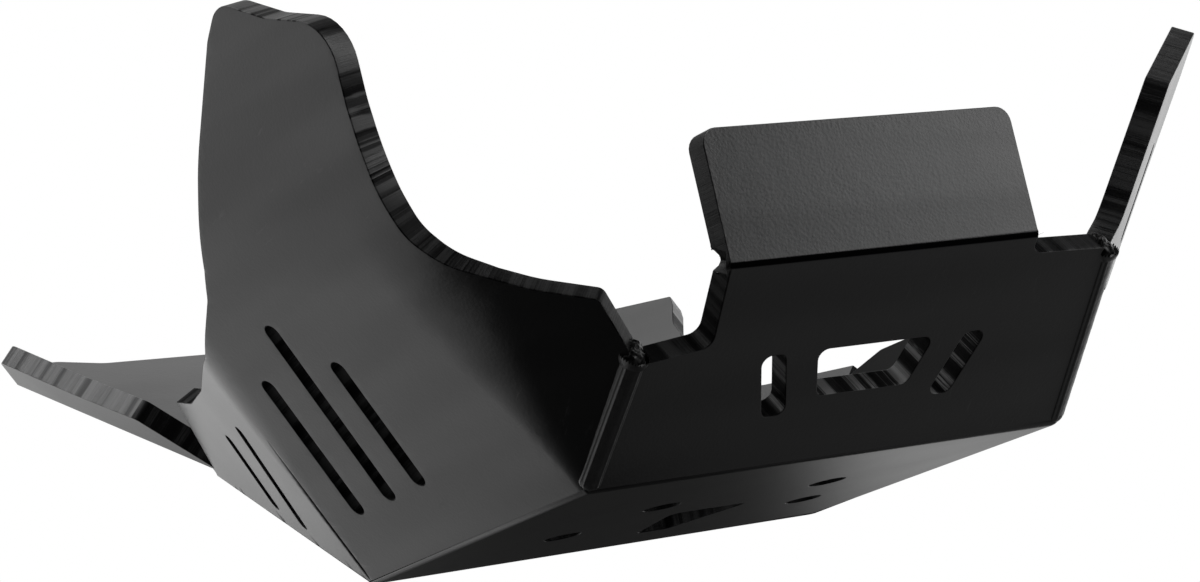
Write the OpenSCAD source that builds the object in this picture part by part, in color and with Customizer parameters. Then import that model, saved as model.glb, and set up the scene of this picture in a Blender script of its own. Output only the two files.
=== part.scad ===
// Skid plate folded from one sheet of black polyethylene.
// The flat floor panel lies on z = 0 with its outer face down, the front
// fold runs along x, the front is towards -y and the tail towards +y.
// Every panel is a flat sheet drawn in its own fold frame: x runs along the
// fold line, y leads away from it and z is zero on the outer face.

/* [Sheet] */
// Thickness of the sheet
thick = 8; // [5:0.5:12]

/* [Floor panel] */
// Width of the floor between the two side folds
floor_w = 176; // [150:1:200]
// Length of the floor from the front fold to the rear fold
floor_l = 142; // [125:1:170]
// Diameter of the four fixing holes
bolt_d = 12; // [6:0.5:16]
// Spacing of the front pair of fixing holes
bolt_front_w = 64; // [50:1:90]
// Distance of the front pair from the front fold
bolt_front_y = 56; // [30:1:66]
// Spacing of the rear pair of fixing holes
bolt_rear_w = 95; // [70:1:120]
// Distance of the rear pair from the front fold
bolt_rear_y = 93; // [80:1:110]
// Width of the drain window at its front edge
drain_front_w = 30; // [20:1:36]
// Width of the drain window at its rear edge
drain_rear_w = 12; // [8:1:18]
// Length of the drain window
drain_l = 38; // [25:1:45]
// Distance of the drain window from the front fold
drain_y = 77; // [70:1:90]
// Sideways offset of the hole pattern from the middle of the floor
pattern_x = 4; // [0:0.5:6]

/* [Front panel] */
// Angle at which the front panel rises from the floor
front_rise = 40.6; // [35:0.5:50]
// Height of the left shoulder along the panel
shoulder_left = 46; // [40:1:60]
// Height of the right shoulder along the panel
shoulder_right = 68; // [60:1:72]
// Height of the tab fold along the panel
tab_fold = 75.7; // [73:0.1:90]
// Distance by which each side edge leans in at the top
front_taper = 5; // [0:0.5:12]
// Height of the lower edge of the vents along the panel
vent_low = 19.5; // [12:0.5:22]
// Height of the upper edge of the vents along the panel
vent_high = 42; // [36:0.5:42]
// Width of each slanted vent slot
vent_slot_w = 8.5; // [5:0.5:12]
// Distance of the middle of a vent slot from the middle of the panel
vent_slot_x = 34; // [31:0.5:45]
// Sideways lean of each vent slot from its foot to its head
vent_lean = 7; // [0:0.5:12]
// Width of the middle vent at its upper edge
vent_mid_w = 43; // [30:1:46]
// Height of the middle vent
vent_mid_h = 17; // [12:0.5:20]
// Sideways offset of the vents from the middle of the panel
vent_x = 1.5; // [0:0.5:4]

/* [Tab] */
// Angle through which the tab is folded back from the front panel
tab_turn = 47.5; // [30:0.5:60]
// Height of the tab
tab_h = 40; // [25:1:60]
// Reach of the tab to the left of the middle
tab_left = 61.5; // [50:0.5:68]
// Reach of the tab to the right of the middle
tab_right = 50; // [40:0.5:60]
// Radius of the upper corners of the tab
tab_r = 5; // [2:0.5:12]
// Depth of the relief notch at the inner left end of the tab fold
relief = 3.4; // [2:0.1:5]

/* [Side panels] */
// Angle at which each side panel rises from the floor
side_rise = 56; // [50:0.5:62]
// Lean of the front bend from square to the floor fold
nose_lean = 7.3; // [4:0.1:12]
// Angle through which the nose facet turns in at the front bend
nose_turn = 33.5; // [30:0.5:36]
// Lean of the rear fold from square to the floor fold
heel_lean = 11; // [8:0.5:14]
// Angle through which the heel facet turns in at the rear fold
heel_turn = 17.4; // [15:0.2:20]
// Length of the rear fold
heel_fold_l = 95; // [80:1:100]

/* [Near wing] */
// Height of the first soft bend above the floor fold, at the nose
bend_u = 84.1; // [80:0.5:95]
// Slope of the soft bends along the wing
bend_slope = 19.8; // [10:0.2:25]
// Angle of each of the three soft bends
bend_step = 7; // [4:0.5:10]
// Distance from the first soft bend to the second
bend_gap_1 = 15.3; // [10:0.1:20]
// Distance from the second soft bend to the third
bend_gap_2 = 20; // [12:0.1:25]
// Length of the wing at the first soft bend
wing_l = 93; // [80:1:100]
// Height of the wing above the first soft bend
wing_h = 80.5; // [70:0.5:90]

/* [Side slots] */
// Width of the long slots in the side panels
slot_w = 6; // [4:0.5:8]
// Width of the short slots in the heel facets
heel_slot_w = 4; // [3:0.5:7]

/* [Tail] */
// Angle at which the tail panel rises from the floor
tail_rise = 30; // [24:0.5:36]
// Length of the heel fold along the tail panel
tail_waist = 119; // [105:1:130]
// Length of the tail flange fold
flange_l = 127; // [110:1:140]
// Outward lean of the tail flange fold
flange_splay = 12.7; // [5:0.1:20]
// Angle at which each tail flange turns up
flange_turn = 40; // [25:0.5:50]
// Height of the near tail flange
flange_h = 27; // [18:0.5:35]
// Height of the horn on the far tail flange
horn_h = 49; // [40:1:60]

/* [Far wing] */
// Length of the fin on the far side, measured along the front bend
fin_l = 163; // [145:1:175]
// Reach of the fin in front of the bend
fin_w = 30; // [24:1:36]
// Reach of the fin behind the bend
fin_back = 16; // [12:1:20]
// Length of the slot in the fin
fin_slot_l = 32; // [20:1:40]
// Height of the low rear part of the far side panel
far_low_u = 56; // [52:1:70]

/* [Weld] */
// Radius of the weld bead in the two front seams
weld_r = 3.4; // [2.5:0.1:5]

/* [Hidden] */
$fn = 48;
// How far a panel's edge stays short of the fold that the next one starts at
tuck = 0.05;
nose_dir = 90 + nose_lean;
heel_dir = 90 + heel_lean;
front_dir = [0, -cos(front_rise), sin(front_rise)];

// A unit vector along v
function unit(v) = v / norm(v);

// Points of an arc of radius r that rounds corner b between a and c
function corner(a, b, c, r, n) =
    let (
        p = unit(a - b),
        q = unit(c - b),
        half = acos(p * q) / 2,
        mid = b + unit(p + q) * r / sin(half),
        from = b + p * r / tan(half) - mid,
        to = b + q * r / tan(half) - mid,
        start = atan2(from[1], from[0]),
        turn = atan2(from[0] * to[1] - from[1] * to[0], from * to)
    )
    [for (i = [0:n]) mid + r * [cos(start + turn * i / n), sin(start + turn * i / n)]];

// Outline through points [x, y, r], each corner rounded by its own radius
function outline(pts) =
    let (last = len(pts) - 1)
    [for (i = [0:last])
        let (
            a = pts[i == 0 ? last : i - 1],
            b = pts[i],
            c = pts[i == last ? 0 : i + 1]
        )
        each b[2] == 0
            ? [[b[0], b[1]]]
            : corner([a[0], a[1]], [b[0], b[1]], [c[0], c[1]], b[2], 6)];

// A flat panel of the sheet, outer face on z = 0
module sheet(pts) {
    linear_extrude(thick) polygon(outline(pts));
}

// Moves its children past a fold line through [p, u] that runs at angle dir
module past_fold(p, u, dir, turn) {
    translate([p, u, 0]) rotate([0, 0, dir]) rotate([turn, 0, 0]) children();
}

// A round-ended slot cut through the sheet between two points
module slot(a, b, w) {
    run = b - a;
    translate([a[0], a[1], -1]) rotate([0, 0, atan2(run[1], run[0])]) {
        cylinder(d = w, h = thick + 2);
        translate([norm(run), 0, 0]) cylinder(d = w, h = thick + 2);
        translate([0, -w / 2, 0]) cube([norm(run), w, thick + 2]);
    }
}

// Frame of the near side panel: x runs rearward along the floor fold
module near_side() {
    translate([-floor_w / 2, 0, 0]) rotate([0, side_rise, 0]) rotate([0, 0, 90])
        children();
}

// The far side is the near side seen in a mirror
module far_side() {
    mirror([1, 0, 0]) near_side() children();
}

// Flat floor with the fixing holes and the drain window
module floor_panel() {
    half = floor_w / 2 - tuck;
    rear = floor_l - tuck;
    difference() {
        sheet([[-half, tuck, 0], [half, tuck, 0], [half, rear, 0], [-half, rear, 0]]);
        for (s = [-1, 1]) {
            translate([pattern_x + s * bolt_front_w / 2, bolt_front_y, -1])
                cylinder(d = bolt_d, h = thick + 2);
            translate([pattern_x + s * bolt_rear_w / 2, bolt_rear_y, -1])
                cylinder(d = bolt_d, h = thick + 2);
        }
        translate([pattern_x, drain_y, -1]) linear_extrude(thick + 2) polygon(outline([
            [-drain_front_w / 2, 0, 3], [drain_front_w / 2, 0, 3],
            [drain_rear_w / 2, drain_l, 3], [-drain_rear_w / 2, drain_l, 3]]));
    }
}

// Outline of one slanted vent slot on side s of the front panel
function vent_slot(s) =
    let (foot = s * vent_slot_x - s * vent_lean / 2, head = foot + s * vent_lean,
         w = vent_slot_w / 2)
    outline([[foot - w, vent_low, 3], [foot + w, vent_low, 3],
        [head + w, vent_high, 3], [head - w, vent_high, 3]]);

// Front panel with its three vents
module front_panel() {
    half = floor_w / 2;
    lean = front_taper / shoulder_right;
    mid = vent_mid_w / 2;
    rotate([180 - front_rise, 0, 0]) translate([0, 0, -thick])
    difference() {
        sheet([
            [tuck - half, 0, 0],
            [half - tuck, 0, 0],
            [half - front_taper, shoulder_right, 0],
            [tab_right - tuck, shoulder_right + 1, 3.5],
            [tab_right - tuck, tab_fold - tuck, 0],
            [tuck - tab_left, tab_fold - tuck, 0],
            [-tab_left + 2, shoulder_left + 2, 4],
            [-half + lean * shoulder_left, shoulder_left - 2, 0]]);
        for (s = [-1, 1])
            translate([vent_x, 0, -1]) linear_extrude(thick + 2) polygon(vent_slot(s));
        translate([vent_x, 0, -1]) linear_extrude(thick + 2) polygon(outline([
            [-mid + 5, vent_high - vent_mid_h, 3], [mid - 5, vent_high - vent_mid_h, 3],
            [mid, vent_high, 3], [-mid, vent_high, 3]]));
    }
}

// Tab folded back from the top of the front panel
module tab() {
    translate(front_dir * tab_fold) rotate([180 - front_rise - tab_turn, 0, 0])
        translate([0, 0, -thick])
        sheet([[-tab_left, 0, 0], [tab_right, 0, 0],
            [tab_right - 1, tab_h, tab_r], [-tab_left - 1, tab_h, tab_r]]);
}

// Square-angled relief notch in the inner side of the tab fold, at its left end
module tab_relief() {
    translate(front_dir * tab_fold) rotate([180 - front_rise - tab_turn / 2, 0, 0])
        translate([-tab_left, 0, -thick - 2]) linear_extrude(thick - 1)
        polygon([[-6, -relief - 6], [relief, 0], [-6, relief + 6]]);
}

// Long slots, equally wide, that lean with the front bend
module side_slots() {
    slot([113.8, 26.6], [103.8, 73.6], slot_w);
    slot([91.5, 26.4], [78, 87.8], slot_w);
    slot([70.5, 26.6], [62, 67.7], slot_w);
}

// Lower part of the near wing, up to the first soft bend
module near_lower() {
    heel = heel_fold_l * [-sin(heel_lean), cos(heel_lean)];
    nose = bend_u * 0.975 * [-tan(nose_lean), 1];
    rear = [wing_l * cos(bend_slope) - 3, bend_u + wing_l * sin(bend_slope)];
    difference() {
        sheet([[tuck, 0, 0], [floor_l - tuck, 0, 0],
            [floor_l + heel[0] - tuck, heel[1], 0],
            [rear[0] + 11, rear[1] - 8, 20], [rear[0], rear[1] - tuck, 0],
            [nose[0] + tuck, nose[1] - tuck, 0]]);
        side_slots();
    }
}

// Flat outline of the wing above the first soft bend
function wing_outline() = outline([
    [wing_l, 0, 0], [wing_l * 0.59, wing_h - 9, 14], [wing_l * 0.5, wing_h + 2, 9],
    [wing_l * 0.27, wing_h - 4, 20], [-1.5, wing_h - 7, 14],
    [-2, wing_h * 0.62, 30], [-5.5, wing_h * 0.28, 40], [-10.2, 8, 4], [-8.5, 0, 0]]);

// One strip of the wing between two heights above the first soft bend
module wing_strip(low, high) {
    translate([0, -low, 0]) linear_extrude(thick) intersection() {
        polygon(wing_outline());
        translate([-30, low]) square([160, high - low - tuck]);
    }
}

// Upper part of the near wing, in three strips with soft bends between them
module near_upper() {
    second = bend_gap_1;
    third = bend_gap_1 + bend_gap_2;
    past_fold(-2.8, bend_u, bend_slope, bend_step) {
        wing_strip(0, second);
        past_fold(0, bend_gap_1, 0, bend_step) {
            wing_strip(second, third);
            past_fold(0, bend_gap_2, 0, bend_step) wing_strip(third, wing_h + 5);
        }
    }
}

// Nose facet of the near wing, from the front bend to the front panel
module near_nose() {
    past_fold(0, 0, nose_dir, nose_turn)
        sheet([[0, 0, 0], [90, 0, 0], [89.5, 3, 0], [82, 5, 14], [77, 9.5, 20], [60, 25, 60],
            [48, 39, 3], [30, 37, 0], [25, 36.7, 0]]);
}

// Nose facet of the far side, drawn out upward into a flat fin
module far_nose() {
    root = far_low_u * 0.93;
    past_fold(0, 0, nose_dir, nose_turn)
    difference() {
        sheet([[0, 0, 0], [root, 0, 0], [root + 1, -fin_back + 3, 5],
            [98, -fin_back, 40], [fin_l - 20, -fin_back - 10, 3],
            [fin_l, -fin_back - 10, 3], [fin_l - 50, fin_w - 4, 3],
            [fin_l - 65, fin_w - 3, 20], [60, fin_w, 20], [47, 46, 8], [40, 53.8, 0]]);
        slot([fin_l - 91, -5], [fin_l - 91 + fin_slot_l, -7], slot_w);
    }
}

// Far side panel, low at the rear and rising to the fin
module far_lower() {
    heel = heel_fold_l * [-sin(heel_lean), cos(heel_lean)];
    difference() {
        sheet([[tuck, 0, 0], [floor_l - tuck, 0, 0],
            [floor_l + heel[0] * 0.5 - tuck, far_low_u - 7, 0],
            [112, far_low_u, 6], [tuck - far_low_u * tan(nose_lean), far_low_u, 0]]);
        slot([113, 18], [109, 38], slot_w);
        slot([90.5, 18], [86.5, 38], slot_w);
        slot([69.5, 18], [65.5, 38], slot_w);
    }
}

// Heel facet between the side panel, the tail panel and the rear fold
module heel(fold_l) {
    past_fold(floor_l, 0, heel_dir - 180, heel_turn)
    difference() {
        sheet([[0, 0, 0], [-26.1, 121.8, 0], [-fold_l * 0.674, 95, 2],
            [-fold_l * 0.7, 72, 25], [-fold_l * 0.805, 40, 4], [-fold_l, 0, 0]]);
        slot([-fold_l * 0.63, 28], [-19, 39], heel_slot_w);
        slot([-fold_l * 0.55, 54], [-24, 60], heel_slot_w);
    }
}

// Tail panel that rises behind the floor
module tail_panel() {
    half = floor_w / 2 - tuck;
    waist = half - 3;
    end_x = waist + flange_l * sin(flange_splay);
    end_y = tail_waist + flange_l * cos(flange_splay);
    translate([0, floor_l, 0]) rotate([tail_rise, 0, 0])
        sheet([[-half, 0, 0], [half, 0, 0], [waist, tail_waist, 0],
            [end_x, end_y, 0], [end_x - 16, end_y, 6], [end_x - 32, end_y - 8, 12],
            [0, end_y - 14, 60], [-end_x + 32, end_y - 8, 12],
            [-end_x + 16, end_y, 6], [-end_x, end_y, 0], [-waist, tail_waist, 0]]);
}

// Frame of the near tail flange: x runs rearward along its fold
module near_flange_frame() {
    translate([0, floor_l, 0]) rotate([tail_rise, 0, 0])
        past_fold(3 - floor_w / 2, tail_waist, 90 + flange_splay, flange_turn)
        children();
}

// Tail flange of the near side
module near_flange() {
    near_flange_frame()
        sheet([[0, 0, 0], [flange_l, 0, 0], [flange_l * 0.86, flange_h, 6],
            [flange_l * 0.5, flange_h - 2, 60], [24, flange_h, 3]]);
}

// Tail flange of the far side, with its horn
module far_flange() {
    mirror([1, 0, 0]) near_flange_frame()
        sheet([[0, 0, 0], [flange_l, 0, 0], [flange_l * 0.86, flange_h, 6],
            [70, flange_h, 20], [40, horn_h, 2], [33, horn_h - 2, 4],
            [20, 41, 20], [4, 39, 6]]);
}

// Weld bead along the seam at side s, from the floor up to height l
module weld(s, l) {
    foot = [s * floor_w / 2, 0, 0];
    lean = -s * front_taper / shoulder_right;
    along = unit([lean, front_dir[1], front_dir[2]]);
    inward = unit([-s * 0.36, 0.6, 0.64]);
    tilt = acos(along[2]);
    spin = atan2(along[1], along[0]);
    translate(foot + inward * (weld_r - 0.4)) rotate([0, 0, spin]) rotate([0, tilt, 0]) {
        translate([0, 0, weld_r]) cylinder(r = weld_r, h = l - weld_r);
        translate([0, 0, weld_r]) sphere(r = weld_r * 1.06);
        translate([0, 0, l - 1]) sphere(r = weld_r * 1.35);
    }
}

module skid_plate() {
    color([0.04, 0.04, 0.045]) union() {
        floor_panel();
        difference() {
            union() {
                front_panel();
                tab();
            }
            tab_relief();
        }
        near_side() {
            near_lower();
            near_upper();
            near_nose();
            heel(heel_fold_l);
        }
        far_side() {
            far_lower();
            far_nose();
            heel(far_low_u);
        }
        tail_panel();
        near_flange();
        far_flange();
        weld(-1, 47);
        weld(1, 67);
    }
}

skid_plate();
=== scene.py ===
"""Studio scene of the folded skid plate: skin, milled edges, weld beads, light and camera."""
import math

import bmesh
import bpy
from mathutils import Matrix, Vector, geometry


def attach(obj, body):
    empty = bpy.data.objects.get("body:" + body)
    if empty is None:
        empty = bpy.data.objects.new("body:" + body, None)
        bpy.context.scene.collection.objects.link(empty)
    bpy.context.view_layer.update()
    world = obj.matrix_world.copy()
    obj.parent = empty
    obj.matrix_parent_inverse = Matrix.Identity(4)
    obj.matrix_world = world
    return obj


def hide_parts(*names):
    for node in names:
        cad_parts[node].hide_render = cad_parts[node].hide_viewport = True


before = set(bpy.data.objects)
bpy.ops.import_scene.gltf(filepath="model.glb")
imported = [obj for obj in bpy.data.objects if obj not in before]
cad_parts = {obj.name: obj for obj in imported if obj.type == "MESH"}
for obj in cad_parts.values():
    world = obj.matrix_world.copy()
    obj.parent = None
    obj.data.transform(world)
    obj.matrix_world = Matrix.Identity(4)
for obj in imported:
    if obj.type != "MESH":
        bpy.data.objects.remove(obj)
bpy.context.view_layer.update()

MM = 0.001

# The sheet and its folds, in millimetres and degrees
THICK = 8.0
FLOOR_W = 176.0
FLOOR_L = 142.0
FRONT_RISE = 40.6
FRONT_TAPER = 5.0
SHOULDER_RIGHT = 68.0
TAB_TURN = 47.5
TAB_FOLD = 75.7
SIDE_RISE = 56.0
NOSE_WAY = 90 + 7.3
NOSE_TURN = 33.5
HEEL_WAY = 11.0 - 90
HEEL_TURN = 17.4
BEND_U = 84.1
BEND_START = -2.8
BEND_SLOPE = 19.8
BEND_STEP = 7.0
BEND_GAPS = (15.3, 20.0)
TAIL_RISE = 30.0
TAIL_WAIST = 119.0
WAIST_IN = 3.0
FLANGE_WAY = 90 + 12.7
FLANGE_TURN = 40.0

# Rounding of the cut edges and the folds, and half width of the soft bends, in millimetres
CUT_ROUND = 0.35
FOLD_ROUND = 1.6
SOFT_HALF = 7.5

# The welds, in millimetres: bead length on each side, inward direction and radius, how far the
# bead stands proud, swell of the solid's head, depth of the head that the scene models anew,
# and how much shorter and higher than the solid's bead its strip is
SEAM_LENGTH = {-1: 47.0, 1: 67.0}
SEAM_INWARD = (0.36, 0.6, 0.64)
WELD_R = 3.4
WELD_PROUD = 0.4
WELD_SWELL = 1.35
HEAD_DEEP = 1.2
STRIP_SHORT = 2.0
STRIP_LIFT = 0.18

# The photograph's camera, fitted to the plate's corners
CAMERA_AT = Vector((-536.4, -731.3, -98.4)) * MM
CAMERA_LENS = 90.465
CAMERA_SENSOR = 36.0
CAMERA_RIGHT = Vector((0.843, -0.493, -0.214))
CAMERA_AHEAD = Vector((0.530, 0.829, 0.178))

# Kinds of face, each with a material of its own
FACE, CUT, BEAD, TAB = range(4)


def turn(angle, axis):
    """Rotation by an angle in degrees about one axis."""
    return Matrix.Rotation(math.radians(angle), 4, axis)


def move(x, y, z=0.0):
    """Shift by millimetres."""
    return Matrix.Translation(Vector((x, y, z)) * MM)


def past_fold(base, p, u, direction, angle):
    """Frame of the panel beyond a fold line through (p, u) of the base panel."""
    return base @ move(p, u) @ turn(direction, "Z") @ turn(angle, "X")


def panel_frames():
    """Frame of each flat panel: x along its fold, y away from it, outer face on z = 0."""
    mirror = Matrix.Scale(-1, 4, Vector((1, 0, 0)))
    front = turn(180 - FRONT_RISE, "X") @ move(0, 0, -THICK)
    rise = math.radians(FRONT_RISE)
    tab_at = Vector((0, -math.cos(rise), math.sin(rise)))
    tab_at *= TAB_FOLD
    tab = move(0, tab_at.y, tab_at.z) @ turn(180 - FRONT_RISE - TAB_TURN, "X")
    near = move(-FLOOR_W / 2, 0) @ turn(SIDE_RISE, "Y") @ turn(90, "Z")
    strip_1 = past_fold(near, BEND_START, BEND_U, BEND_SLOPE, BEND_STEP)
    strip_2 = past_fold(strip_1, 0, BEND_GAPS[0], 0, BEND_STEP)
    strip_3 = past_fold(strip_2, 0, BEND_GAPS[1], 0, BEND_STEP)
    nose = past_fold(near, 0, 0, NOSE_WAY, NOSE_TURN)
    heel = past_fold(near, FLOOR_L, 0, HEEL_WAY, HEEL_TURN)
    tail = move(0, FLOOR_L) @ turn(TAIL_RISE, "X")
    flange = past_fold(tail, WAIST_IN - FLOOR_W / 2, TAIL_WAIST, FLANGE_WAY, FLANGE_TURN)
    return {
        "floor": Matrix.Identity(4),
        "front": front,
        "tab": tab @ move(0, 0, -THICK),
        "near_lower": near,
        "near_strip_1": strip_1,
        "near_strip_2": strip_2,
        "near_strip_3": strip_3,
        "near_nose": nose,
        "near_heel": heel,
        "far_lower": mirror @ near,
        "far_nose": mirror @ nose,
        "far_heel": mirror @ heel,
        "tail": tail,
        "near_flange": flange,
        "far_flange": mirror @ flange,
    }


FRAMES = panel_frames()
NAMES = list(FRAMES)
NEAR_SIDE = {NAMES.index(n) for n in NAMES if n.startswith("near_") and n != "near_flange"}

# Panels that start at a fold on their x axis. Front and tab are framed from their inner face,
# so that their fold lies one thickness up.
RAISED_FOLDS = ("front", "tab")
PLAIN_FOLDS = ("near_lower", "near_nose", "near_heel", "far_lower", "far_nose", "far_heel",
               "tail", "near_flange", "far_flange")
SOFT_FOLDS = ("near_strip_1", "near_strip_2", "near_strip_3")
HARD_REACH = 0.15
SOFT_REACH = 0.5

# How far a face may be off a panel's outer or inner side to count as part of it, the least
# cosine between their normals, and the most for a cut edge beside that panel
ON_PANEL = 0.15
SAME_WAY = 0.9995
BESIDE = 0.3


def seam(side):
    """Foot, direction and inward direction of the front seam on one side."""
    lean = FRONT_TAPER / SHOULDER_RIGHT
    rise = math.radians(FRONT_RISE)
    foot = Vector((side * FLOOR_W / 2, 0, 0)) * MM
    along = Vector((-side * lean, -math.cos(rise), math.sin(rise))).normalized()
    inward = Vector((-side * SEAM_INWARD[0], *SEAM_INWARD[1:])).normalized()
    return foot, along, inward


def on_weld(point):
    """True where a point lies on the solid's plain weld bead."""
    for side, length in SEAM_LENGTH.items():
        foot, along, inward = seam(side)
        foot = foot + inward * (WELD_R - WELD_PROUD) * MM
        t = min(max((point - foot).dot(along), WELD_R * MM), (length - 1) * MM)
        if (point - foot - along * t).length < (WELD_R * WELD_SWELL + ON_PANEL) * MM:
            return True
    return False


def close_grooves(bm):
    """Moves the vertices beside each fold line onto that line."""
    lines = [(name, THICK, HARD_REACH) for name in RAISED_FOLDS]
    lines += [(name, 0.0, HARD_REACH) for name in PLAIN_FOLDS]
    lines += [(name, 0.0, SOFT_REACH) for name in SOFT_FOLDS]
    for name, height, reach in lines:
        back = FRAMES[name].inverted()
        for v in bm.verts:
            at = back @ v.co / MM
            if math.hypot(at.y, at.z - height) < reach:
                v.co = FRAMES[name] @ (Vector((at.x, 0, height)) * MM)


def panel_of(face):
    """Index of the panel that a face is the outer or inner side of, or -1 on a cut edge."""
    at = face.calc_center_median()
    for k, name in enumerate(NAMES):
        axis = FRAMES[name].to_3x3().col[2].normalized()
        if abs(face.normal.dot(axis)) > SAME_WAY:
            depth = (FRAMES[name].inverted() @ at).z / MM
            if min(abs(depth), abs(depth - THICK)) < ON_PANEL:
                return k
    return -1


def sort_faces(bm):
    """Writes each face's panel and kind, cut faces taking the panel beside them."""
    panel = bm.faces.layers.int.new("panel")
    kind = bm.faces.layers.int.new("kind")
    bm.faces.layers.float_vector.new("thick_way")
    rest = []
    for f in bm.faces:
        f[panel] = panel_of(f)
        if f[panel] >= 0:
            f[kind] = TAB if NAMES[f[panel]] == "tab" else FACE
        elif on_weld(f.calc_center_median()):
            f[kind] = BEAD
            f[panel] = NAMES.index("front")
        else:
            f[kind] = CUT
            rest.append(f)
    axes = [FRAMES[n].to_3x3().col[2].normalized() for n in NAMES]
    for f in rest:
        best = None
        for e in f.edges:
            for g in e.link_faces:
                if g[kind] in (FACE, TAB) and abs(f.normal.dot(axes[g[panel]])) < BESIDE:
                    score = e.calc_length()
                    if best is None or score > best[0]:
                        best = (score, g[panel])
        f[panel] = best[1] if best else 0
    return panel, kind


def rounded(points, steps=8):
    """Outline through (x, y, r) points, each corner rounded by its own radius."""
    done = []
    for k, (bx, by, r) in enumerate(points):
        b = Vector((bx, by))
        if r == 0:
            done.append(b)
            continue
        a, c = Vector(points[k - 1][:2]), Vector(points[(k + 1) % len(points)][:2])
        p, q = (a - b).normalized(), (c - b).normalized()
        half = math.acos(max(-1.0, min(1.0, p.dot(q)))) / 2
        middle = b + (p + q).normalized() * r / math.sin(half)
        start = b + p * r / math.tan(half) - middle
        stop = b + q * r / math.tan(half) - middle
        first = math.atan2(start.y, start.x)
        sweep = math.atan2(start.x * stop.y - start.y * stop.x, start.dot(stop))
        for n in range(steps + 1):
            t = first + sweep * n / steps
            done.append(middle + Vector((math.cos(t), math.sin(t))) * r)
    return done


def resampled(loop, step, shortest=0.02):
    """The closed loop with its long sides cut into steps and its shortest left out."""
    done = []
    for a, b in zip(loop, loop[1:] + loop[:1]):
        if (b - a).length < shortest:
            continue
        count = max(1, math.ceil((b - a).length / step))
        done += [a.lerp(b, n / count) for n in range(count)]
    return done


def inset(loop, by, least=0.35):
    """The counter-clockwise loop moved inward at each point, sharp corners less far."""
    done = []
    for k, b in enumerate(loop):
        a, c = loop[k - 1], loop[(k + 1) % len(loop)]
        e, f = (b - a).normalized(), (c - b).normalized()
        side = Vector((-(e.y + f.y), e.x + f.x)).normalized()
        spread = max(least, side.dot(Vector((-e.y, e.x))))
        done.append(b + side * by / spread)
    return done


def on_flat(x, y, p, u, direction, r=0.0):
    """Point of a neighbouring panel, laid out flat in the frame of the near side panel."""
    d = math.radians(direction)
    return (p + x * math.cos(d) - y * math.sin(d), u + x * math.sin(d) + y * math.cos(d), r)


def strip_point(x, y, r=0.0):
    """Corner (x, y) of the wing above its first soft bend, rounded by r."""
    return on_flat(x, y, BEND_START, BEND_U, BEND_SLOPE, r)


def nose_point(x, y, r=0.0):
    """Corner (x, y) of the nose facet, rounded by r."""
    return on_flat(x, y, 0, 0, NOSE_WAY, r)


def heel_point(x, y, r=0.0):
    """Corner (x, y) of the heel facet, rounded by r."""
    return on_flat(x, y, FLOOR_L, 0, HEEL_WAY, r)


def slot_loop(a, b, wide, steps=12):
    """Clockwise loop of a round-ended slot between two points."""
    a, b = Vector(a[:2]), Vector(b[:2])
    run = (b - a).normalized()
    start = math.atan2(run.y, run.x)
    loop = []
    for centre, first in ((b, start + math.pi / 2), (a, start - math.pi / 2)):
        for n in range(steps + 1):
            t = first - math.pi * n / steps
            loop.append(centre + Vector((math.cos(t), math.sin(t))) * wide / 2)
    return loop


# Ends of the line where the heel meets the tail, on the heel's own frame
HEEL_FOOT = (-0.9, 0.1)
HEEL_TOP = (-26.1, 121.8)
NEAR_OUTLINE = [
    (0.4, FOLD_ROUND, 0), (FLOOR_L - 0.6, FOLD_ROUND, 0),
    heel_point(*HEEL_FOOT), heel_point(*HEEL_TOP),
    heel_point(-64, 95, 1.5), heel_point(-66.5, 72, 25), heel_point(-76.5, 40, 3),
    heel_point(-95, 0, 30), (95.5, 107.6, 20), (84.5, 115.6, 8),
    strip_point(54.9, 71.5, 14), strip_point(46.5, 82.5, 9), strip_point(25.1, 76.5, 20),
    strip_point(-1.5, 73.5, 14), strip_point(-2, 49.9, 30), strip_point(-5.2, 24, 60),
    (-14.1, 90.5, 22), (-17.6, 78, 34), nose_point(60, 25, 60), nose_point(48, 39, 3),
    nose_point(30, 37), nose_point(25, 36.7)]
NEAR_SLOTS = [
    ((113.8, 26.6), (103.8, 73.6), 6.0), ((91.5, 26.4), (78, 87.8), 6.0),
    ((70.5, 26.6), (62, 67.7), 6.0),
    (heel_point(-59.9, 28), heel_point(-19, 39), 5.0),
    (heel_point(-52.3, 54), heel_point(-24, 60), 5.0)]
HEEL_START = Vector(heel_point(*HEEL_FOOT)[:2])
HEEL_RUN = (Vector(heel_point(*HEEL_TOP)[:2]) - HEEL_START).normalized()

# Depth and half width of the groove pressed into the heel's bend
CREASE_DEPTH = 1.3
CREASE_HALF = 0.6

# The near side's points, in millimetres: spacing along edges and bends, least gap between two
# points, and rows of points across a bend, as parts of its half width, and across the groove
EDGE_STEP = 1.6
ROW_STEP = 3.0
SEED_GAP = 1.4
SEED_CELL = 1.5
EDGE_GAP = 1.2
BEND_ROWS = (-1, -0.75, -0.5, -0.25, 0, 0.25, 0.5, 0.75, 1)
CREASE_ROWS = (-1.3, -0.75, -0.35, 0, 0.35, 0.75, 1.3)


def ease(t, low, high):
    """Smooth rise from 0 at low to 1 at high."""
    x = min(1.0, max(0.0, (t - low) / (high - low)))
    return x * x * (3 - 2 * x)


def steady(value):
    """The same value all along a bend."""
    return lambda t: value


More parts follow.
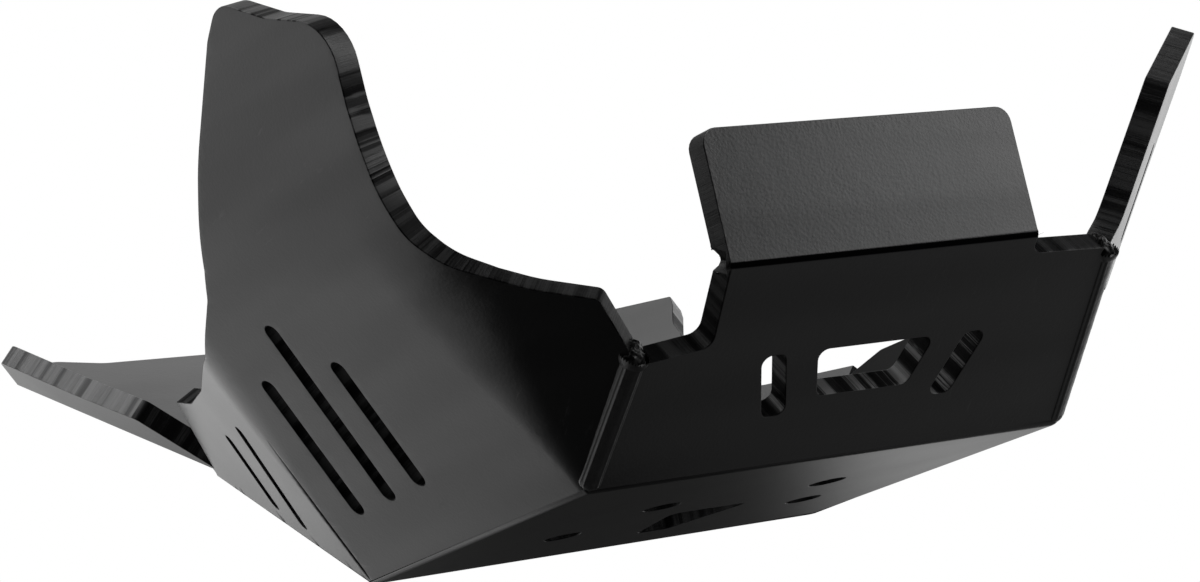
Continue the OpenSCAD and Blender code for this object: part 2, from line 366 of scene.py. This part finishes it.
def near_bends():
    """Bends of the near side, outermost first: origin, direction, turn and half width."""
    lines = []
    for up in (BEND_GAPS[0] + BEND_GAPS[1], BEND_GAPS[0], 0.0):
        at = strip_point(0, up)
        lines.append((Vector(at[:2]), BEND_SLOPE, steady(BEND_STEP), steady(SOFT_HALF)))
    lines.append((Vector((0, 0)), NOSE_WAY,
                  lambda t: NOSE_TURN * (1 - ease(t, 68, 112)),
                  lambda t: 3.0 + 15.0 * ease(t, 0, 80)))
    lines.append((Vector((FLOOR_L, 0)), HEEL_WAY, steady(HEEL_TURN),
                  lambda t: 1.7 + 11.0 * ease(-t, 20, 90)))
    return lines


def ways(direction):
    """Unit vectors along a line at an angle in degrees, and away from it to the left."""
    d = math.radians(direction)
    return Vector((math.cos(d), math.sin(d))), Vector((-math.sin(d), math.cos(d)))


def bent(point, bends):
    """A point (x, y, depth) of the flat near side after its bends."""
    spot = Vector(point)
    for origin, direction, turn_at, width_at in bends:
        run, away = ways(direction)
        flat = Vector((spot.x, spot.y)) - origin
        t, s, z = flat.dot(run), flat.dot(away), spot.z
        if direction == HEEL_WAY and z < 1:
            deep = CREASE_DEPTH * math.exp(-(s / CREASE_HALF) ** 2)
            z += deep * ease(-t, 0, 8) * (1 - ease(-t, 25, 62))
        half = math.radians(turn_at(t)) / 2
        width = width_at(t)
        if half < 1e-4 or s <= -width:
            continue
        if s >= width:
            s, z = (s * math.cos(2 * half) - z * math.sin(2 * half),
                    s * math.sin(2 * half) + z * math.cos(2 * half))
        else:
            radius = width / math.tan(half)
            turned = s / width * half
            along = (math.cos(half), math.sin(half))
            out = (math.sin(half), -math.cos(half))
            middle = (-out[0] * width / math.sin(half), -out[1] * width / math.sin(half))
            left = radius - z
            s = middle[0] + left * (along[0] * math.sin(turned) + out[0] * math.cos(turned))
            z = middle[1] + left * (along[1] * math.sin(turned) + out[1] * math.cos(turned))
        moved = origin + run * t + away * s
        spot = Vector((moved.x, moved.y, z))
    return spot


def on_fold(spot):
    """True on the lines where the near side goes on into the floor or the tail."""
    past = spot - HEEL_START
    on_heel = abs(past.x * HEEL_RUN.y - past.y * HEEL_RUN.x) < 0.05
    return spot.y < FOLD_ROUND + 0.02 or (on_heel and past.dot(HEEL_RUN) > -0.05)


def crossings(spot, loop):
    """How many sides of a loop lie straight to the right of a point."""
    hits = 0
    for a, b in zip(loop, loop[1:] + loop[:1]):
        if (a.y > spot.y) != (b.y > spot.y):
            if spot.x < a.x + (b.x - a.x) * (spot.y - a.y) / (b.y - a.y):
                hits += 1
    return hits


def on_sheet(spot, loops):
    """True inside the outline and outside the slots."""
    return sum(crossings(spot, loop) for loop in loops) % 2 == 1


def clear(spot, loops, gap):
    """True on the sheet and more than a gap away from its edges."""
    if not on_sheet(spot, loops):
        return False
    return all((spot - q).length > gap for loop in loops for q in loop)


def inner_points(bends, loops):
    """Points inside the flat near side: dense at the heel's groove, in rows along the bends."""
    kept = []
    run, away = ways(HEEL_WAY)
    for n in range(56):
        for part in CREASE_ROWS:
            kept.append(Vector((FLOOR_L, 0)) + run * (-3 - n * 1.1) + away * part)
    kept = [spot for spot in kept if clear(spot, loops, EDGE_GAP / 2)]
    seeds = []
    for origin, direction, _, width_at in bends:
        run, away = ways(direction)
        for n in range(-45, 60):
            t = n * ROW_STEP
            for part in BEND_ROWS:
                seeds.append(origin + run * t + away * part * width_at(t))
    for n in range(0, 54):
        for m in range(0, 36):
            seeds.append(Vector((-55 + n * 6.0 + (m % 2) * 3.0, m * 5.5 + 0.5)))
    cells = {}
    for spot in kept:
        cell = (int(spot.x // SEED_CELL), int(spot.y // SEED_CELL))
        cells.setdefault(cell, []).append(spot)
    for spot in seeds:
        cx, cy = int(spot.x // SEED_CELL), int(spot.y // SEED_CELL)
        close = [q for i in (-1, 0, 1) for j in (-1, 0, 1)
                 for q in cells.get((cx + i, cy + j), [])]
        if all((spot - q).length > SEED_GAP for q in close) and clear(spot, loops, EDGE_GAP):
            kept.append(spot)
            cells.setdefault((cx, cy), []).append(spot)
    return kept


def add_near_side(bm, panel, kind):
    """Near wing, nose and heel as one sheet with soft bends, slots and eased edges."""
    bends = near_bends()
    loops = [resampled(rounded(NEAR_OUTLINE), EDGE_STEP)]
    loops += [resampled(slot_loop(a, b, wide), EDGE_STEP) for a, b, wide in NEAR_SLOTS]
    faces_at = [inset(loop, CUT_ROUND) for loop in loops]
    faces_at[0] = [b if on_fold(b) else q for b, q in zip(loops[0], faces_at[0])]
    points, links = [], []
    for loop in faces_at:
        base = len(points)
        points += loop
        links += [(base + k, base + (k + 1) % len(loop)) for k in range(len(loop))]
    points += inner_points(bends, faces_at)
    made = geometry.delaunay_2d_cdt(points, links, [], 0, 1e-4)
    spots, triangles = made[0], made[2]
    place = FRAMES["near_lower"]
    near = NAMES.index("near_lower")
    thick_way = bm.faces.layers.float_vector["thick_way"]

    def put(x, y, z):
        return bm.verts.new(place @ (bent((x, y, z), bends) * MM))

    def face(verts, sort, way=None):
        try:
            f = bm.faces.new(verts)
        except ValueError:
            return
        f[panel], f[kind] = near, sort
        if way is not None:
            f[thick_way] = way.normalized()
        f.smooth = True

    lower = [put(q.x, q.y, 0.0) for q in spots]
    upper = [put(q.x, q.y, THICK) for q in spots]
    for a, b, c in triangles:
        if on_sheet((spots[a] + spots[b] + spots[c]) / 3, faces_at):
            face((lower[c], lower[b], lower[a]), FACE)
            face((upper[a], upper[b], upper[c]), FACE)
    r = CUT_ROUND
    profile = [(r, 0.0), (0.3 * r, 0.3 * r), (0.0, r), (0.0, THICK * 0.33), (0.0, THICK * 0.66),
               (0.0, THICK - r), (0.3 * r, THICK - 0.3 * r), (r, THICK)]
    for loop in loops:
        rings = []
        for by, z in profile:
            ring = inset(loop, by) if by else loop
            rings.append([put(q.x, q.y, z) for q in ring])
        for low, high in zip(rings, rings[1:]):
            for k in range(len(loop)):
                j = (k + 1) % len(loop)
                if not (on_fold(loop[k]) and on_fold(loop[j])):
                    way = rings[-2][k].co - rings[1][k].co
                    face((low[k], low[j], high[j], high[k]), CUT, way)
    bmesh.ops.remove_doubles(bm, verts=[v for v in bm.verts], dist=0.004 * MM)


def fold_edges(bm, panel, kind):
    """Edges between two panels, apart from the soft bends of the near side."""
    found = []
    for e in bm.edges:
        if len(e.link_faces) != 2 or e.calc_face_angle(0.0) < math.radians(3):
            continue
        f, g = e.link_faces
        if f[kind] in (CUT, BEAD) or g[kind] in (CUT, BEAD) or f[panel] == g[panel]:
            continue
        if not {f[panel], g[panel]} <= NEAR_SIDE:
            found.append(e)
    return found


def replaced_faces(bm, panel, kind):
    """The solid's faces that the bent near side and the melted weld heads take over.

    A few cut faces of the near side lie beside another panel and are found by their place.
    """
    gone = [f for f in bm.faces if f[panel] in NEAR_SIDE
            and (f[kind] == CUT or panel_of(f) in NEAR_SIDE)]
    for side, length in SEAM_LENGTH.items():
        foot, along, inward = seam(side)
        gone += [f for f in bm.faces if f[kind] == BEAD and f not in gone
                 and (f.calc_center_median() - foot).dot(along) > (length - HEAD_DEEP) * MM
                 and f.calc_center_median().x * side > 0]
    for f in bm.faces:
        at = f.calc_center_median() / MM
        if f not in gone and f[kind] == CUT and at.x < -96 and at.z > 12 and at.y < 200:
            gone.append(f)
    return gone


def rim_edges(bm, kind):
    """Sharp edges along the cut faces."""
    rims = []
    for e in bm.edges:
        if len(e.link_faces) == 2 and e.calc_face_angle(0.0) > math.radians(32):
            kinds = {f[kind] for f in e.link_faces}
            if BEAD not in kinds and CUT in kinds:
                rims.append(e)
    return rims


def make_skin():
    """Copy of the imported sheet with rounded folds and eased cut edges."""
    bm = bmesh.new()
    bm.from_mesh(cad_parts["skid_plate"].data)
    bmesh.ops.remove_doubles(bm, verts=bm.verts, dist=0.02 * MM)
    close_grooves(bm)
    bmesh.ops.remove_doubles(bm, verts=bm.verts, dist=0.06 * MM)
    bmesh.ops.dissolve_degenerate(bm, edges=bm.edges, dist=0.03 * MM)
    bmesh.ops.recalc_face_normals(bm, faces=bm.faces)
    bmesh.ops.dissolve_limit(bm, angle_limit=math.radians(0.6), verts=bm.verts, edges=bm.edges)
    panel, kind = sort_faces(bm)
    bmesh.ops.bevel(bm, geom=fold_edges(bm, panel, kind), offset=FOLD_ROUND * MM,
                    offset_type="OFFSET", segments=4, profile=0.5, affect="EDGES",
                    clamp_overlap=False)
    bmesh.ops.delete(bm, geom=replaced_faces(bm, panel, kind), context="FACES")
    bmesh.ops.bevel(bm, geom=rim_edges(bm, kind), offset=CUT_ROUND * MM,
                    offset_type="OFFSET", segments=2, profile=0.5, affect="EDGES",
                    clamp_overlap=False)
    add_near_side(bm, panel, kind)
    thick_way = bm.faces.layers.float_vector["thick_way"]
    kinds, across = [], []
    for f in bm.faces:
        f.smooth = True
        kinds.append(f[kind])
        way = Vector(f[thick_way])
        if way.length < 0.5:
            way = FRAMES[NAMES[f[panel]]].to_3x3().col[2].normalized()
        across.append(way)
    mesh = bpy.data.meshes.new("plate_skin")
    bm.to_mesh(mesh)
    bm.free()
    attribute = mesh.attributes.new("across", "FLOAT_VECTOR", "FACE")
    for k, way in enumerate(across):
        attribute.data[k].vector = way
    for k, poly in enumerate(mesh.polygons):
        poly.material_index = kinds[k]
    mesh.set_sharp_from_angle(angle=math.radians(50))
    skin = bpy.data.objects.new("plate_skin", mesh)
    bpy.context.scene.collection.objects.link(skin)
    even = skin.modifiers.new("even_normals", "WEIGHTED_NORMAL")
    even.keep_sharp = True
    even.weight = 100
    return skin


class Nodes:
    """Small helper that adds and links shader nodes."""

    def __init__(self, tree):
        self.tree = tree
        tree.nodes.clear()

    def add(self, kind, inputs=None, **settings):
        node = self.tree.nodes.new(kind)
        for key, value in settings.items():
            setattr(node, key, value)
        for key, value in (inputs or {}).items():
            self.put(node, key, value)
        return node

    def put(self, node, key, value):
        if isinstance(value, bpy.types.NodeSocket):
            self.tree.links.new(value, node.inputs[key])
        elif isinstance(value, bpy.types.Node):
            self.tree.links.new(value.outputs[0], node.inputs[key])
        else:
            node.inputs[key].default_value = value

    def math(self, operation, a, b=0.0):
        return self.add("ShaderNodeMath", {0: a, 1: b}, operation=operation).outputs[0]

    def times(self, a, b):
        return self.math("MULTIPLY", a, b)

    def plus(self, a, b):
        return self.math("ADD", a, b)

    def vector(self, operation, a, b=(0, 0, 0)):
        node = self.add("ShaderNodeVectorMath", {0: a, 1: b}, operation=operation)
        return node.outputs["Value" if operation in ("DOT_PRODUCT", "LENGTH") else "Vector"]

    def scaled(self, a, factor):
        node = self.add("ShaderNodeVectorMath", {0: a}, operation="SCALE")
        self.put(node, "Scale", factor)
        return node.outputs["Vector"]

    def span(self, value, low, high, to_low=0.0, to_high=1.0, smooth=True):
        node = self.add("ShaderNodeMapRange", {"Value": value, "From Min": low, "From Max": high,
                                               "To Min": to_low, "To Max": to_high})
        node.interpolation_type = "SMOOTHSTEP" if smooth else "LINEAR"
        return node.outputs["Result"]

    def noise(self, where, scale, detail=2.0, rough=0.5):
        node = self.add("ShaderNodeTexNoise", {"Vector": where, "Scale": scale,
                                               "Detail": detail, "Roughness": rough})
        return node.outputs[0]

    def blend(self, factor, a, b):
        node = self.add("ShaderNodeMix", data_type="RGBA")
        self.put(node, 0, factor)
        self.put(node, 6, a)
        self.put(node, 7, b)
        return node.outputs[2]


def tint(gray, blue):
    """Gray of the plastic, with its trace of blue."""
    return (gray, gray, blue, 1)


def plastic(name, color, build):
    """Black plastic whose tone, roughness, height and gloss come from build(n, where)."""
    mat = bpy.data.materials.new(name)
    mat.use_nodes = True
    mat.diffuse_color = color
    n = Nodes(mat.node_tree)
    where = n.add("ShaderNodeTexCoord").outputs["Object"]
    tone, rough, height, depth, *gloss = build(n, where)
    bump = n.add("ShaderNodeBump", {"Height": height, "Distance": depth * MM, "Strength": 1.0})
    shader = n.add("ShaderNodeBsdfPrincipled", {"Base Color": tone, "Roughness": rough,
                                                "Normal": bump, "IOR": 1.5})
    if gloss:
        n.put(shader, "Specular IOR Level", gloss[0])
    n.add("ShaderNodeOutputMaterial", {"Surface": shader})
    return mat


def grain(n, where, size):
    """Fine leathery grain of a moulded sheet, cells of the given size in millimetres."""
    wavy = n.vector("ADD", where, n.scaled(n.noise(where, 400, 2), 0.6 * MM))
    cell = n.add("ShaderNodeTexVoronoi", {"Vector": wavy, "Scale": 1000 / size,
                                          "Smoothness": 0.6}, feature="SMOOTH_F1")
    fine = n.noise(where, 2600 / size, 3, 0.6)
    return n.plus(cell.outputs["Distance"], n.times(fine, 0.5))


def shade_line_mask(n, where, origin, axis, low, high, width):
    """Mask of a painted shade line, from the distance to a fold line in millimetres."""
    offset = n.vector("SUBTRACT", where, tuple(origin))
    across = n.vector("LENGTH", n.vector("CROSS_PRODUCT", offset, tuple(axis)))
    run = n.vector("DOT_PRODUCT", offset, tuple(axis))
    ends = n.times(n.span(run, low * MM, (low + 3) * MM),
                   n.span(run, (high - 3) * MM, high * MM, 1, 0))
    return n.times(n.span(across, width * MM, (width + 0.5) * MM, 1, 0), ends)


def painted_fold_lines(n, where):
    """Painted shade: dark lines along the tab's fold and along the heel's bend."""
    tab, heel = FRAMES["tab"], FRAMES["near_heel"]
    tab_line = tab @ (Vector((0, 0, THICK)) * MM)
    tab_way, heel_way = (m.to_3x3().col[0].normalized() for m in (tab, heel))
    return n.math("MAXIMUM", shade_line_mask(n, where, tab_line, tab_way, -90, 90, 0.8),
                  shade_line_mask(n, where, heel.translation, heel_way, -62, -1, 0.5))


def sheet_finish(n, where, cell, depth):
    """Satin outer face with grain, faint haze, hairline scuffs and painted shade lines along the
    tab's fold and the heel's bend.
    """
    cloud = n.noise(where, 9, 3, 0.55)
    stretch = n.vector("MULTIPLY", where, (900.0, 60.0, 200.0))
    hair = n.span(n.noise(stretch, 1.0, 3, 0.7), 0.62, 0.72)
    patch = n.span(n.noise(where, 26, 2), 0.52, 0.66)
    scuff = n.times(hair, patch)
    # Painted shade: darker tone and less gloss along the tab's fold and the heel's bend
    painted_shade = painted_fold_lines(n, where)
    tone = n.blend(cloud, tint(0.008, 0.0083), tint(0.013, 0.0134))
    tone = n.blend(n.times(scuff, 0.35), tone, tint(0.06, 0.06))
    tone = n.blend(painted_shade, tone, tint(0.002, 0.0021))
    rough = n.plus(n.span(cloud, 0.3, 0.7, 0.28, 0.33), n.times(scuff, 0.08))
    height = n.plus(grain(n, where, cell), n.times(n.noise(where, 160, 2), 1.5))
    flow = n.noise(n.vector("MULTIPLY", where, (5.0, 9.0, 70.0)), 1.0, 1, 0.4)
    gloss = n.times(n.span(flow, 0.3, 0.7, 0.45, 0.55), n.math("SUBTRACT", 1.0, painted_shade))
    return tone, rough, height, depth, gloss


def rear_edge(n, place):
    """Mask of the rear edges: past the end of the flange fold, on both sides."""
    same = n.add("ShaderNodeCombineXYZ", {0: n.times(n.math("ABSOLUTE", place[0]), -1.0),
                                          1: place[1], 2: place[2]})
    flange = FRAMES["near_flange"]
    fold_way = flange.to_3x3().col[0].normalized()
    past = n.math("SUBTRACT", n.vector("DOT_PRODUCT", same, fold_way),
                  flange.translation.dot(fold_way))
    return n.times(n.span(past, 0.0272, 0.0279), n.span(place[1], 0.2, 0.21))


def cut_finish(n, where):
    """Sawn and routed edge: fine lines across the thickness and a few chatter bands, with
    painted highlights on the rear and upper edges.
    """
    across = n.add("ShaderNodeAttribute", attribute_name="across").outputs["Vector"]
    lift = n.vector("DOT_PRODUCT", where, across)
    flat = n.vector("SUBTRACT", where, n.scaled(across, lift))
    wander = n.vector("ADD", flat, n.scaled(n.noise(where, 120, 1), 0.5 * MM))
    fine = n.noise(wander, 2200, 2, 0.6)
    broad = n.noise(wander, 260, 1, 0.5)
    swirl = n.noise(where, 900, 3, 0.65)
    lines = n.plus(n.times(fine, 0.3), n.times(broad, 0.7))
    mark = n.span(n.plus(lines, n.times(swirl, 0.12)), 0.5, 0.64)
    place = n.add("ShaderNodeSeparateXYZ", {0: where}).outputs

    # The rear edges are painted lighter, a painted highlight over their saw lines, and the rear
    # edges and the upper edges of the wings carry lighter, glossier chatter bands, their
    # lightness a painted highlight
    rear = rear_edge(n, place)
    rear_highlight = n.times(rear, n.span(lines, 0.35, 0.65, 0.4, 1.0))
    step = n.span(place[0], -0.01, 0.01, 0.084, 0.122, smooth=False)
    high = n.span(n.math("SUBTRACT", place[2], step), 0.0, 0.012)
    bands = n.span(n.plus(n.noise(wander, 330, 0), n.times(lines, 0.35)), 0.62, 0.74)
    bands = n.times(bands, n.math("MAXIMUM", rear, high))

    # The vents are streaked, and the front panel's upper edge has a soft sheen
    ahead = n.span(place[1], -0.006, -0.003, 1, 0)
    vents = n.times(n.times(ahead, n.span(place[0], -0.045, -0.04)),
                    n.span(place[2], 0.042, 0.046, 1, 0))
    streaks = n.times(n.span(lines, 0.48, 0.6), vents)
    front = n.times(n.times(ahead, n.span(place[2], 0.05, 0.054)),
                    n.span(n.math("ABSOLUTE", place[0]), 0.08, 0.085, 1, 0))

    tone = n.blend(mark, tint(0.003, 0.0032), tint(0.016, 0.0163))
    # Painted highlight: the rear edges lightened over their saw lines, then the lighter chatter
    # bands
    tone = n.blend(rear_highlight, tone, tint(0.3, 0.302))
    tone = n.blend(streaks, tone, tint(0.09, 0.0905))
    tone = n.blend(n.times(bands, 0.4), tone, tint(0.06, 0.0605))
    rough = n.span(lines, 0.35, 0.65, 0.36, 0.55)
    height = n.plus(lines, n.times(swirl, 0.08))
    gloss = n.plus(n.times(bands, 0.42), n.span(lines, 0.35, 0.65, 0.03, 0.12))
    gloss = n.plus(gloss, n.times(streaks, 0.5))
    gloss = n.plus(gloss, n.times(front, 0.2))
    return tone, rough, height, 0.35, gloss


def melt_finish(n, where):
    """Melted head of a weld: black and glossy, with lumps and pits."""
    flow = n.noise(where, 520, 3, 0.6)
    tone = n.blend(flow, tint(0.002, 0.0021), tint(0.009, 0.0092))
    return tone, n.span(flow, 0.3, 0.7, 0.3, 0.45), flow, 0.15, n.span(flow, 0.4, 0.6, 0.05, 0.3)


def bead_finish(n, where):
    """Weld strip: satin, with slow ripples and pits."""
    flow = n.noise(where, 420, 4, 0.6)
    pits = n.span(n.noise(where, 1100, 2), 0.62, 0.7)
    tone = n.blend(flow, tint(0.03, 0.0304), tint(0.046, 0.0465))
    rough = n.span(flow, 0.3, 0.7, 0.3, 0.42)
    height = n.math("SUBTRACT", flow, n.times(pits, 0.3))
    return tone, rough, height, 0.05


face_mat = plastic("sheet_face", tint(0.035, 0.038),
                   lambda n, where: sheet_finish(n, where, 1.0, 0.018))
tab_mat = plastic("sheet_tab", tint(0.035, 0.038),
                  lambda n, where: sheet_finish(n, where, 0.9, 0.022))
cut_mat = plastic("milled_edge", tint(0.05, 0.05), cut_finish)
bead_mat = plastic("weld_bead", tint(0.02, 0.02), bead_finish)
melt_mat = plastic("weld_melt", tint(0.01, 0.01), melt_finish)

skin = make_skin()
for mat in (face_mat, cut_mat, bead_mat, tab_mat):
    skin.data.materials.append(mat)
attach(skin, "root")
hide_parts("skid_plate")

# The weld strip: points around it, rings in its rounded foot and step along it
STRIP_AROUND = 72
STRIP_FOOT = 10
STRIP_STEP = 0.35
# Lumps of a weld's head: outward, inward and up from the strip's end, and radius
LUMPS = [(0.0, 0.1, 0.5, 3.25), (0.2, 2.4, 1.6, 2.8), (0.3, 4.8, 2.2, 2.4),
         (2.2, 0.8, 1.6, 1.8), (-2.0, 0.2, -0.2, 2.2), (1.0, 6.8, 1.6, 1.7)]


def strip_profile():
    """Angle and radius around the strip, with two ridges and a groove on each side."""
    profile = []
    for k in range(STRIP_AROUND):
        a = math.radians(k * 5 - 180)
        d = abs(math.degrees(a))
        rim = 0.26 * math.exp(-((d - 33) / 5) ** 2) + 0.16 * math.exp(-((d - 56) / 4) ** 2)
        groove = 0.12 * math.exp(-((d - 44) / 5) ** 2)
        sink = 0.06 * math.exp(-(d / 17) ** 4)
        profile.append((a, WELD_R + STRIP_LIFT + rim - groove - sink))
    return profile


def add_strip(bm, middle, along, inward, wide, length):
    """Weld strip with a rounded foot, its faces on the second material."""
    profile = strip_profile()
    rings = []
    steps = int((length - WELD_R) / STRIP_STEP)
    for i in range(-STRIP_FOOT, steps + 1):
        if i < 0:
            cap = math.radians(90 * -i / STRIP_FOOT)
            t, end = WELD_R - math.sin(cap) * WELD_R * 0.9, math.cos(cap)
        else:
            t, end = WELD_R + (length - WELD_R) * i / steps, 1.0
        ring = []
        for a, r in profile:
            wave = 0.02 * math.sin(t * 0.9 + 2 * a) + 0.01 * math.sin(t * 2.3 + a * 5)
            r = (r + wave) * max(end, 0.02)
            ring.append(bm.verts.new(middle + (along * t - inward * (math.cos(a) * r)
                                               + wide * (math.sin(a) * r * 1.02)) * MM))
        rings.append(ring)
    for low, high in zip(rings, rings[1:]):
        for k in range(len(profile)):
            j = (k + 1) % len(profile)
            bm.faces.new((low[k], low[j], high[j], high[k]))
    bm.faces.new(rings[-1])
    bmesh.ops.recalc_face_normals(bm, faces=bm.faces)
    for f in bm.faces:
        f.material_index = 1


def add_lump(bm, at, radius, n):
    """Uneven ball of a weld's head, the n-th of its kind."""
    made = bmesh.ops.create_icosphere(bm, subdivisions=4, radius=radius * MM)
    for v in made["verts"]:
        d = v.co.normalized()
        bulge = 1 + 0.16 * math.sin(4.1 * d.x + 5 * n) * math.cos(5.3 * d.y + n)
        bulge += 0.08 * math.sin(9 * d.z + n) * math.cos(8 * d.x)
        v.co = at + v.co * bulge


def merged(obj):
    """The object's lumps as one smooth mesh."""
    remesh = obj.modifiers.new("merge", "REMESH")
    remesh.mode = "VOXEL"
    remesh.voxel_size = 0.3 * MM
    smooth = obj.modifiers.new("melt", "SMOOTH")
    smooth.factor = 0.5
    smooth.iterations = 5
    bpy.context.view_layer.update()
    evaluated = obj.evaluated_get(bpy.context.evaluated_depsgraph_get())
    mesh = bpy.data.meshes.new_from_object(evaluated)
    obj.modifiers.clear()
    return mesh


def make_weld(side, name):
    """Weld bead of one front seam: a ribbed strip with a melted head and a rounded foot."""
    foot, along, inward = seam(side)
    length = SEAM_LENGTH[side] - STRIP_SHORT
    middle = foot + inward * (WELD_R - WELD_PROUD) * MM
    wide = along.cross(inward).normalized()
    strip = bmesh.new()
    add_strip(strip, middle, along, inward, wide, length)
    strip_mesh = bpy.data.meshes.new(name + "_strip")
    strip.to_mesh(strip_mesh)
    strip.free()

    head = bmesh.new()
    for n, (out, deep, up, radius) in enumerate(LUMPS):
        at = middle + (along * (length - 0.4 + up) + inward * deep * 0.8
                       + wide * (-side) * out * 0.6) * MM
        add_lump(head, at, radius, n)
    head_mesh = bpy.data.meshes.new(name + "_head")
    head.to_mesh(head_mesh)
    head.free()
    obj = bpy.data.objects.new(name, head_mesh)
    bpy.context.scene.collection.objects.link(obj)

    final = merged(obj)
    both = bmesh.new()
    both.from_mesh(final)
    both.from_mesh(strip_mesh)
    both.to_mesh(final)
    both.free()
    final.name = name
    final.shade_smooth()
    final.materials.append(melt_mat)
    final.materials.append(bead_mat)
    obj.data = final
    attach(obj, "root")
    for spare in (strip_mesh, head_mesh):
        bpy.data.meshes.remove(spare)


make_weld(-1, "near_weld")
make_weld(1, "far_weld")


def look_from(azimuth, elevation):
    """Unit direction: azimuth from +y towards +x, elevation from the floor, in degrees."""
    a, e = math.radians(azimuth), math.radians(elevation)
    return Vector((math.sin(a) * math.cos(e), math.cos(a) * math.cos(e), math.sin(e)))


# Soft parts of the surroundings: azimuth, elevation, inner and outer radius, strength
SURROUNDINGS = [
    (-38, -10, 26, 48, 1.0),
    (-4, -2, 10, 20, 1.3),
    (66, -2, 20, 34, 1.3),
    (-71, 57, 12, 28, 2.4),
    (158, 36, 8, 19, 5.0),
    (-15, 66, 8, 20, 2.2),
    (43, 38, 10, 22, 0.9),
]
DIM = 0.02
WHITE = (1, 1, 1, 1)
PALE = (0.72, 0.72, 0.72, 1)

# Half width and height of the floor and the spot that the lamp faces, in metres
FLOOR_HALF = 3.0
FLOOR_AT = -0.16
AIM = Vector((0.0, 0.14, 0.06))


def light_world():
    """World that is white to the camera and dim with soft bright parts to all else."""
    world = bpy.data.worlds.new("studio")
    bpy.context.scene.world = world
    world.use_nodes = True
    n = Nodes(world.node_tree)
    heading = n.add("ShaderNodeTexCoord").outputs["Generated"]
    total = DIM
    for azimuth, elevation, inner, outer, strength in SURROUNDINGS:
        facing = n.vector("DOT_PRODUCT", heading, look_from(azimuth, elevation))
        edge, core = math.cos(math.radians(outer)), math.cos(math.radians(inner))
        total = n.plus(n.span(facing, edge, core, 0, strength), total)
    seen = n.add("ShaderNodeLightPath").outputs["Is Camera Ray"]
    dim = n.add("ShaderNodeBackground", {"Color": WHITE, "Strength": total})
    white = n.add("ShaderNodeBackground", {"Color": WHITE, "Strength": 1.0})
    mixed = n.add("ShaderNodeMixShader", {0: seen, 1: dim, 2: white})
    n.add("ShaderNodeOutputWorld", {"Surface": mixed})


def floor_finish():
    """Pale and matt to the camera from above and clear from below; to all other rays it glows in
    soft patches, painted light that the plate shows as reflections.
    """
    mat = bpy.data.materials.new("studio_floor")
    mat.use_nodes = True
    n = Nodes(mat.node_tree)
    where = n.add("ShaderNodeTexCoord").outputs["Object"]
    spot = n.add("ShaderNodeSeparateXYZ", {0: where}).outputs
    azimuth = n.times(n.math("ARCTAN2", spot[0], spot[1]), 180 / math.pi)
    reach = n.vector("LENGTH", n.vector("MULTIPLY", where, (1, 1, 0)))
    # Painted light: patches where the floor glows, though it is no lamp, so that the plate
    # reflects them
    left = n.times(n.span(azimuth, 3, 13, 1, 0), n.span(azimuth, -95, -75, 0, 1))
    right = n.times(n.span(azimuth, 33.5, 39, 0, 1), n.span(azimuth, 80, 100, 1, 0))
    rear = n.times(n.plus(n.times(left, 0.75), n.times(right, 0.65)),
                   n.span(reach, 0.26, 0.42, 0, 1))
    ahead = n.times(n.span(n.math("ABSOLUTE", azimuth), 105, 125, 0, 0.12),
                    n.span(reach, 0.45, 0.7))
    rest = n.math("MAXIMUM", n.span(azimuth, 50, 80, 0.03, 0.18), ahead)
    glow = n.add("ShaderNodeEmission", {"Strength": n.math("MAXIMUM", rear, rest)})
    pale = n.add("ShaderNodeBsdfDiffuse", {"Color": PALE})
    clear_below = n.add("ShaderNodeBsdfTransparent")
    seen = n.add("ShaderNodeLightPath").outputs["Is Camera Ray"]
    below = n.add("ShaderNodeNewGeometry").outputs["Backfacing"]
    above = n.add("ShaderNodeMixShader", {0: seen, 1: glow, 2: pale})
    mixed = n.add("ShaderNodeMixShader", {0: n.times(seen, below), 1: above, 2: clear_below})
    n.add("ShaderNodeOutputMaterial", {"Surface": mixed})
    return mat


def make_floor():
    """Flat floor, below the lowest ray of the photograph's camera."""
    mesh = bpy.data.meshes.new("studio_floor")
    corners = [(x * FLOOR_HALF, y * FLOOR_HALF, FLOOR_AT)
               for x, y in ((-1, -1), (1, -1), (1, 1), (-1, 1))]
    mesh.from_pydata(corners, [], [(0, 1, 2, 3)])
    mesh.materials.append(floor_finish())
    obj = bpy.data.objects.new("studio_floor", mesh)
    bpy.context.scene.collection.objects.link(obj)
    return obj


def lamp(name, azimuth, elevation, distance, size, radiance):
    """Square soft lamp that faces the plate, by the radiance of its surface."""
    data = bpy.data.lights.new(name, "AREA")
    data.shape = "SQUARE"
    data.size = size
    data.energy = radiance * math.pi * size * size
    obj = bpy.data.objects.new(name, data)
    bpy.context.scene.collection.objects.link(obj)
    obj.location = AIM + look_from(azimuth, elevation) * distance
    obj.rotation_euler = (AIM - obj.location).to_track_quat("-Z", "Y").to_euler()


def make_camera():
    """Camera at the photograph's place."""
    data = bpy.data.cameras.new("camera")
    data.lens = CAMERA_LENS
    data.sensor_width = CAMERA_SENSOR
    data.clip_start = 0.05
    obj = bpy.data.objects.new("camera", data)
    bpy.context.scene.collection.objects.link(obj)
    ahead = CAMERA_AHEAD.normalized()
    right = (CAMERA_RIGHT - ahead * CAMERA_RIGHT.dot(ahead)).normalized()
    pose = Matrix((right, right.cross(ahead), -ahead)).transposed().to_4x4()
    pose.translation = CAMERA_AT
    obj.matrix_world = pose
    return obj


light_world()
studio_floor = make_floor()
lamp("key", azimuth=133, elevation=13, distance=1.5, size=0.8, radiance=3.0)
bpy.context.scene.camera = make_camera()
bpy.context.scene.view_settings.view_transform = "Standard"
